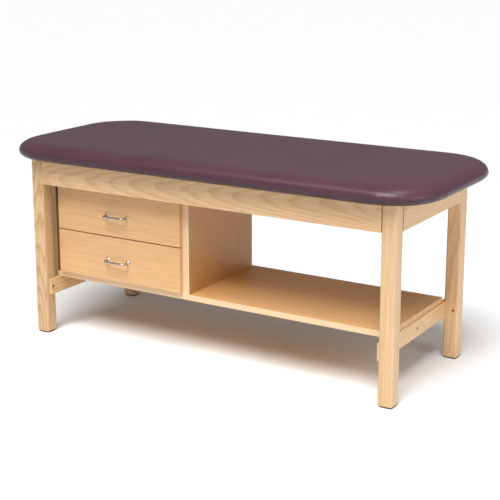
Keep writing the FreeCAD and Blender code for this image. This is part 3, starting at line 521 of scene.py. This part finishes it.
# %% [markdown]
# ## The pad
# The pad is firm foam with vinyl pulled over it and stapled under the board. Its edge is a full bullnose:
# a wide, shallow curve over the top and a tighter one tucking under. The blank is a block whose upright
# edges are rounded in plan and whose rims are then rounded as quarter circles; pressing the block down
# afterwards turns those circles into the flatter ellipses of stretched upholstery.

# %% Shape the blank
ROUND_PLAN = 215 * MM
TOP_REACH, TOP_RISE = 66 * MM, 46 * MM
UNDER_REACH = 40 * MM
SLACK = 3 * MM  # the blank is this much smaller, and swells back
BAND = 0.985  # leaves a sliver of upright side between the two curves
CORNER_STEPS, TOP_STEPS, UNDER_STEPS = 18, 9, 7


def rim_edges(shape, height):
    return [edge for edge in shape.edges if all(abs(v.co.z - height) < 0.1 * MM for v in edge.verts)]


def upright_edges(block):
    return [edge for edge in block.edges if abs(edge.verts[0].co.z - edge.verts[1].co.z) > 10 * MM]


def round_over(shape, edges, reach, steps):
    bmesh.ops.bevel(shape, geom=edges, offset=reach, offset_type="OFFSET", affect="EDGES",
                    segments=steps, profile=0.5, material=-1, clamp_overlap=False)


blank = bmesh.new()
bmesh.ops.create_cube(blank, size=1)
bmesh.ops.scale(blank, verts=blank.verts, vec=(
    pad_high.x - pad_low.x - 2 * SLACK, pad_high.y - pad_low.y - 2 * SLACK, TOP_REACH + UNDER_REACH))
bmesh.ops.translate(blank, verts=blank.verts, vec=(0, 0, (TOP_REACH - UNDER_REACH) / 2))
round_over(blank, upright_edges(blank), ROUND_PLAN - SLACK, CORNER_STEPS)
round_over(blank, rim_edges(blank, TOP_REACH), TOP_REACH * BAND, TOP_STEPS)
round_over(blank, rim_edges(blank, -UNDER_REACH), UNDER_REACH * BAND, UNDER_STEPS)
upper = [v for v in blank.verts if v.co.z > 0]
lower = [v for v in blank.verts if v.co.z <= 0]
bmesh.ops.scale(blank, verts=upper, vec=(1, 1, (TOP_RISE - SLACK) / TOP_REACH))
bmesh.ops.scale(blank, verts=lower, vec=(1, 1, UNDER_RISE / UNDER_REACH))
middle = (pad_low + pad_high) / 2
waist = pad_low.z + UNDER_RISE
bmesh.ops.translate(blank, verts=blank.verts, vec=(middle.x, middle.y, waist))
pad = stand("upholstered_pad", blank)
print("blank", len(pad.data.polygons), "faces, waist at", round(waist, 4))


# %% [markdown]
# ### Filling it
# Foam pushes the vinyl outwards, so the skin is treated as cloth with air pressure behind it and no
# gravity. The underside is held where it is stapled to the board. Pressure alone would blow the pad up like
# a balloon, so no point may go further than a few millimetres, which leaves the slight crown of real foam.
# The firm edge of the foam hardly gives, so sideways moves count for little, and the sides stay straight.
# Each move is then shared with its neighbours many times over, because foam can't dent at a single point.

# %% Swell the skin
VOXEL = 10 * MM
SWELL = 5 * MM
PRESSURE = 4.0
EDGE_GIVE = 0.1
SHARING = 60
FRAMES = 20


def settle(piece):
    """Bakes a piece's modifiers into its own mesh."""
    shown = piece.evaluated_get(bpy.context.evaluated_depsgraph_get())
    baked = bpy.data.meshes.new_from_object(shown)
    piece.modifiers.clear()
    piece.data = baked
    return len(baked.polygons)


remesh = pad.modifiers.new("even_skin", "REMESH")
remesh.mode, remesh.voxel_size = "VOXEL", VOXEL
print("skin", settle(pad), "faces")

start = [v.co.copy() for v in pad.data.vertices]
held = pad.vertex_groups.new(name="stapled")
held.add([i for i, co in enumerate(start) if co.z < pad_low.z + MM], 1.0, "REPLACE")
skin = pad.modifiers.new("skin", "CLOTH")
skin.settings.use_pressure = True
skin.settings.uniform_pressure_force = PRESSURE
skin.settings.effector_weights.gravity = 0
skin.settings.vertex_group_mass = held.name
skin.point_cache.frame_start, skin.point_cache.frame_end = 1, FRAMES
for moment in range(1, FRAMES + 1):
    scene.frame_set(moment)
settle(pad)
origin = np.array([tuple(co) for co in start])
moves = (np.array([tuple(v.co) for v in pad.data.vertices]) - origin) * (EDGE_GIVE, EDGE_GIVE, 1)
length = np.maximum(np.linalg.norm(moves, axis=1, keepdims=True), 1e-9)
furthest = float(length.max())
moves *= SWELL * np.tanh(length / SWELL) / length
ends = np.array([tuple(edge.vertices) for edge in pad.data.edges])
count = np.bincount(ends.ravel(), minlength=len(origin))[:, None]
for _ in range(SHARING):
    total = np.zeros_like(moves)
    np.add.at(total, ends[:, 0], moves[ends[:, 1]])
    np.add.at(total, ends[:, 1], moves[ends[:, 0]])
    moves = (moves + total / count) / 2
pad.data.vertices.foreach_set("co", (origin + moves).ravel())
pad.data.update()
pad.vertex_groups.clear()
scene.frame_set(1)
print("the skin wanted to move", round(furthest, 4), "metres and was held to", SWELL)

# %% Smooth the skin and add one subdivision
SMOOTHINGS = 14
skin = bmesh.new()
skin.from_mesh(pad.data)
for _ in range(SMOOTHINGS):
    bmesh.ops.smooth_vert(skin, verts=skin.verts, factor=0.5, use_axis_x=True, use_axis_y=True, use_axis_z=True)
skin.to_mesh(pad.data)
skin.free()
finer = pad.modifiers.new("finer", "SUBSURF")
finer.levels = finer.render_levels = 1
print("pad", settle(pad), "faces")

# %% Let the skin out to the size of the solid pad
skin = bmesh.new()
skin.from_mesh(pad.data)
reach = [(min(v.co[axis] for v in skin.verts), max(v.co[axis] for v in skin.verts)) for axis in range(3)]
wanted = pad_high - pad_low
stretch = Vector([wanted[axis] / (reach[axis][1] - reach[axis][0]) for axis in range(2)] + [1])
centre = Vector([sum(side) / 2 for side in reach])
bmesh.ops.translate(skin, verts=skin.verts, vec=-centre)
bmesh.ops.scale(skin, verts=skin.verts, vec=stretch)
settled = Vector((middle.x, middle.y, pad_low.z + centre.z - reach[2][0]))
bmesh.ops.translate(skin, verts=skin.verts, vec=settled)
skin.to_mesh(pad.data)
skin.free()
print("let out by", [round(s, 4) for s in stretch], "top at", round(settled.z + reach[2][1] - centre.z, 4))

# %% [markdown]
# ### Pleats and the open underside
# Flat vinyl can't turn a rounded corner, so the spare is gathered into small pleats that run under the
# pad at each corner. Underneath, the vinyl stops a hand's width in and the board shows. That window is
# cut last, so that its edge stays crisp.

# %% Gather the corners
PLEATS, PLEAT_DEEP = 11, 1.3 * MM
PLEAT_ONSET, PLEAT_CRISP = 1.6, 4  # how soon a pleat is fully deep, and how narrow it is
corner = Vector((pad_high.x - ROUND_PLAN, pad_high.y - ROUND_PLAN))
for vertex in pad.data.vertices:
    out = Vector((abs(vertex.co.x) - corner.x, abs(vertex.co.y) - corner.y))
    if vertex.co.z >= waist or min(out) <= 0:
        continue
    round_corner = math.atan2(out.y, out.x)
    under = min(1.0, (waist - vertex.co.z) / UNDER_RISE * PLEAT_ONSET)
    ends = math.sin(2 * round_corner)
    crease = max(0.0, math.cos(2 * PLEATS * round_corner)) ** PLEAT_CRISP
    pull = out.normalized() * PLEAT_DEEP * crease * ends * under
    vertex.co.x -= math.copysign(pull.x, vertex.co.x)
    vertex.co.y -= math.copysign(pull.y, vertex.co.y)
print("pleats", PLEATS, "a corner")

# %% Open the underside
TURNED_IN, CUT_DEEP, WINDOW_STEPS = 92 * MM, 16 * MM, 12
window = bmesh.new()
bmesh.ops.create_cube(window, size=1)
bmesh.ops.scale(window, verts=window.verts, vec=(
    pad_high.x - pad_low.x - 2 * TURNED_IN, pad_high.y - pad_low.y - 2 * TURNED_IN, CUT_DEEP))
round_over(window, upright_edges(window), ROUND_PLAN - TURNED_IN, WINDOW_STEPS)
bmesh.ops.translate(window, verts=window.verts, vec=(middle.x, middle.y, pad_low.z))
cutter = stand("window", window)
opening = pad.modifiers.new("window", "BOOLEAN")
opening.operation, opening.solver, opening.object = "DIFFERENCE", "EXACT", cutter
print("open pad", settle(pad), "faces")
bpy.data.objects.remove(cutter)

CREASE = math.radians(50)
pad.data.materials.clear()
pad.data.materials.append(vinyl)
pad.data.shade_smooth()
pad.data.set_sharp_from_angle(angle=CREASE)
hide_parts("pad_cover", "pad_foam")
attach(pad, "table_frame")
print("declared", pad.name)

# %% [markdown]
# ## A strip beside the cabinet
# The cabinet stands close to the leg and leaves a narrow gap, which would let daylight through. A strip set
# back from the front, in the shade of the leg, closes it, and its foot laps the outer face of the end rail.
# It is a plain board: a stretched block with its edges eased.

# %% Fit the strip
STRIP_WIDE, STRIP_DEEP, STRIP_EASE = 45 * MM, 19 * MM, 0.8 * MM
SET_BACK, RAIL_LAP = 20 * MM, 25 * MM
side_low, side_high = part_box("cabinet_side_left")
rail_low, rail_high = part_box("end_rail_left")
strip_low = Vector((rail_low.x - STRIP_WIDE, side_low.y + SET_BACK, rail_high.z - RAIL_LAP))
strip_high = Vector((rail_low.x, strip_low.y + STRIP_DEEP, side_high.z))
board = bmesh.new()
bmesh.ops.create_cube(board, size=1)
bmesh.ops.scale(board, verts=board.verts, vec=strip_high - strip_low)
round_over(board, list(board.edges), STRIP_EASE, 2)
bmesh.ops.translate(board, verts=board.verts, vec=(strip_low + strip_high) / 2)
strip = stand("cabinet_strip", board)
strip.data.materials.append(frame["nodes"]["cabinet_side_left"].material_slots[0].material)
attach(strip, "table_frame")
print("strip", [round(s, 4) for s in strip_high - strip_low])

# %% [markdown]
# ## Staples
# The turned-in vinyl is held by a row of wire staples close to its cut edge. They can only be seen from
# below, so each is a slim bar with its corners taken off, and they stop short of the blocks and rails.

# %% Drive the staples
STAPLE = Vector((11, 1.3, 0.5)) * MM
STAPLE_STEP, FROM_CUT = 45 * MM, 4 * MM
BEDDED, WIRE_ROUND = 0.05 * MM, 0.12 * MM
LONG_FROM, LONG_TO, SHORT_TO = 35 * MM, 600 * MM, 180 * MM
row_x, row_y = pad_high.x - TURNED_IN + FROM_CUT, pad_high.y - TURNED_IN + FROM_CUT


def spaced(first, last):
    count = int((last - first) / STAPLE_STEP)
    return [first + (last - first) * i / count for i in range(count + 1)]


long_row = spaced(LONG_FROM, LONG_TO)
spots = [(side * x, end * row_y, 0) for x in long_row for side in (-1, 1) for end in (-1, 1)]
spots += [(side * row_x, y, math.pi / 2) for y in spaced(-SHORT_TO, SHORT_TO) for side in (-1, 1)]
wires = bmesh.new()
for x, y, turn in spots:
    bmesh.ops.create_cube(wires, size=1, matrix=(
        Matrix.Translation((x, y, pad_low.z - STAPLE.z / 2 + BEDDED)) @ Matrix.Rotation(turn, 4, "Z")
        @ Matrix.Diagonal((*STAPLE, 1))))
round_over(wires, list(wires.edges), WIRE_ROUND, 1)
staples = stand("cover_staples", wires)
staples.data.materials.append(HARDWARE["zinc_steel"])
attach(staples, "table_frame")
print("staples", len(spots))

# %% [markdown]
# ## Measure
# The box round everything that is shown, floor left out, is measured. The looks may stand only a little
# proud of the solid model.

# %% Measure the shown parts
low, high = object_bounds()
